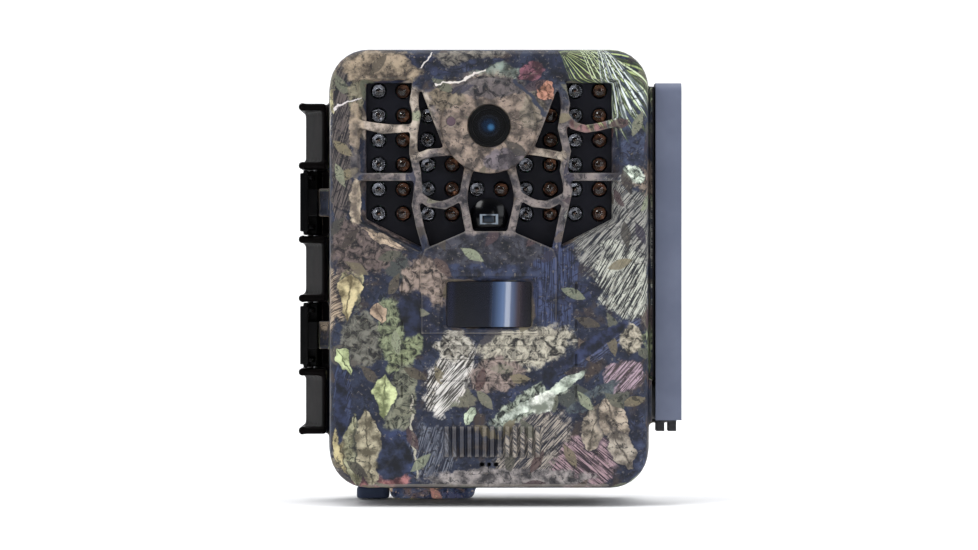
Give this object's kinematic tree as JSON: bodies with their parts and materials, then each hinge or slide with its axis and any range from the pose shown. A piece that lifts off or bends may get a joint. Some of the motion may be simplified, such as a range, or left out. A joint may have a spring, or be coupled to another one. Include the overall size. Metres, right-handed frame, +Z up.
{
  "type": "trail camera",
  "caption": "Camouflaged clamshell trail camera: infrared LED window behind branching ribs, collared lens, motion sensor, side latches, blade antenna and toothed tree bracket.",
  "frame": {"origin": "mouth of the rear tripod socket, level with the middle of the case", "axes": "+Y towards the tree, out of the rear socket; +Z up; +X to the right as seen from in front of the lens, which looks along -Y"},
  "size_m": [0.1229, 0.072, 0.146],
  "materials": {
    "camo_shell": "moulded plastic with a matt bark and leaf camouflage film",
    "black_plastic": "fine-grained black moulding",
    "latch_plastic": "smooth black acetal",
    "antenna_plastic": "matt slate-grey moulding",
    "rubber": "soft black rubber",
    "steel": "plated steel",
    "brass": "turned brass",
    "copper": "enamelled copper winding",
    "circuit_board": "green solder mask",
    "chip_plastic": "moulded black epoxy",
    "bezel_plastic": "near-black matt panel behind the LED web",
    "led_epoxy": "clear water-white epoxy over silver and copper leads",
    "indicator_epoxy": "dark red diffused epoxy",
    "optical_glass": "coated glass with a blue cast",
    "dark_window": "smoked infrared-passing plastic, polished",
    "screen": "dark liquid crystal display behind a clear cover",
    "cell_wrap": "printed cell jacket in two plain colours",
    "card_plastic": "plain dark card"
  },
  "bodies": {
    "rear_case": {"rear_housing": "camo_shell", "tree_bracket": "camo_shell", "bracket_screws": "steel", "rear_tripod_insert": "brass", "base_tripod_insert": "brass", "latch_pins": "steel", "hinge_pin": "steel", "door_seal": "rubber", "battery_tray": "black_plastic", "battery_cells": "cell_wrap", "battery_springs": "steel", "battery_contacts": "steel", "tray_terminals": "brass", "dc_jack": "black_plastic"},
    "front_case": {"front_housing": "camo_shell", "led_bezel": "bezel_plastic", "led_board": "circuit_board", "infrared_leds": "led_epoxy", "lens_barrel": "black_plastic", "lens_cover": "optical_glass", "lens_elements": "optical_glass", "lens_holder": "black_plastic", "ir_cut_coil": "copper", "image_sensor": "chip_plastic", "light_window": "dark_window", "light_sensor": "brass", "pir_lens": "dark_window", "pir_sensor": "steel", "microphone": "steel", "indicator_led": "indicator_epoxy", "main_board": "circuit_board", "board_chips": "chip_plastic", "cellular_module": "steel", "antenna_cable": "black_plastic", "tact_switches": "steel", "lcd_screen": "screen", "control_panel": "black_plastic", "panel_screws": "steel", "panel_contacts": "brass", "slide_switch": "steel", "sd_socket": "steel", "sim_socket": "steel", "antenna_bracket": "black_plastic", "antenna_pin": "steel"},
    "upper_latch": {"upper_latch": "latch_plastic"},
    "lower_latch": {"lower_latch": "latch_plastic"},
    "dc_plug": {"dc_plug": "rubber"},
    "antenna": {"antenna_shell": "antenna_plastic", "antenna_foot": "black_plastic", "antenna_radiator": "circuit_board"},
    "ir_cut_filter": {"ir_cut_frame": "black_plastic", "ir_cut_filters": "optical_glass"},
    "button_up": {"button_up": "rubber"},
    "button_down": {"button_down": "rubber"},
    "button_left": {"button_left": "rubber"},
    "button_right": {"button_right": "rubber"},
    "button_ok": {"button_ok": "rubber"},
    "mode_knob": {"mode_knob": "black_plastic"},
    "sd_card": {"sd_card": "card_plastic"},
    "sim_card": {"sim_card": "card_plastic"}
  },
  "joints": [
    {"name": "door_hinge", "type": "hinge", "parent": "rear_case", "child": "front_case", "pos_m": [0.055, -0.037, 0], "axis": [0, 0, 1], "range_deg": [0, 110]},
    {"name": "upper_latch_pivot", "type": "hinge", "parent": "rear_case", "child": "upper_latch", "pos_m": [-0.0564, -0.033, 0.0214], "axis": [0, 0, -1], "range_deg": [0, 110]},
    {"name": "lower_latch_pivot", "type": "hinge", "parent": "rear_case", "child": "lower_latch", "pos_m": [-0.0564, -0.033, -0.0214], "axis": [0, 0, -1], "range_deg": [0, 110]},
    {"name": "dc_plug_pull", "type": "slide", "parent": "rear_case", "child": "dc_plug", "axis": [0, 0, -1], "range_m": [0, 0.012]},
    {"name": "antenna_swivel", "type": "hinge", "parent": "front_case", "child": "antenna", "pos_m": [0.0531, -0.053, -0.042], "axis": [1, 0, 0], "range_deg": [0, 180]},
    {"name": "ir_cut_shift", "type": "slide", "parent": "front_case", "child": "ir_cut_filter", "axis": [-1, 0, 0], "range_m": [0, 0.0066]},
    {"name": "button_up_press", "type": "slide", "parent": "front_case", "child": "button_up", "axis": [0, -1, 0], "range_m": [0, 0.0005]},
    {"name": "button_down_press", "type": "slide", "parent": "front_case", "child": "button_down", "axis": [0, -1, 0], "range_m": [0, 0.0005]},
    {"name": "button_left_press", "type": "slide", "parent": "front_case", "child": "button_left", "axis": [0, -1, 0], "range_m": [0, 0.0005]},
    {"name": "button_right_press", "type": "slide", "parent": "front_case", "child": "button_right", "axis": [0, -1, 0], "range_m": [0, 0.0005]},
    {"name": "button_ok_press", "type": "slide", "parent": "front_case", "child": "button_ok", "axis": [0, -1, 0], "range_m": [0, 0.0005]},
    {"name": "mode_switch_slide", "type": "slide", "parent": "front_case", "child": "mode_knob", "axis": [1, 0, 0], "range_m": [-0.004, 0.004]},
    {"name": "sd_card_eject", "type": "slide", "parent": "front_case", "child": "sd_card", "axis": [0, 0, -1], "range_m": [0, 0.0045]},
    {"name": "sim_card_eject", "type": "slide", "parent": "front_case", "child": "sim_card", "axis": [0, 0, -1], "range_m": [0, 0.0035]}
  ]
}
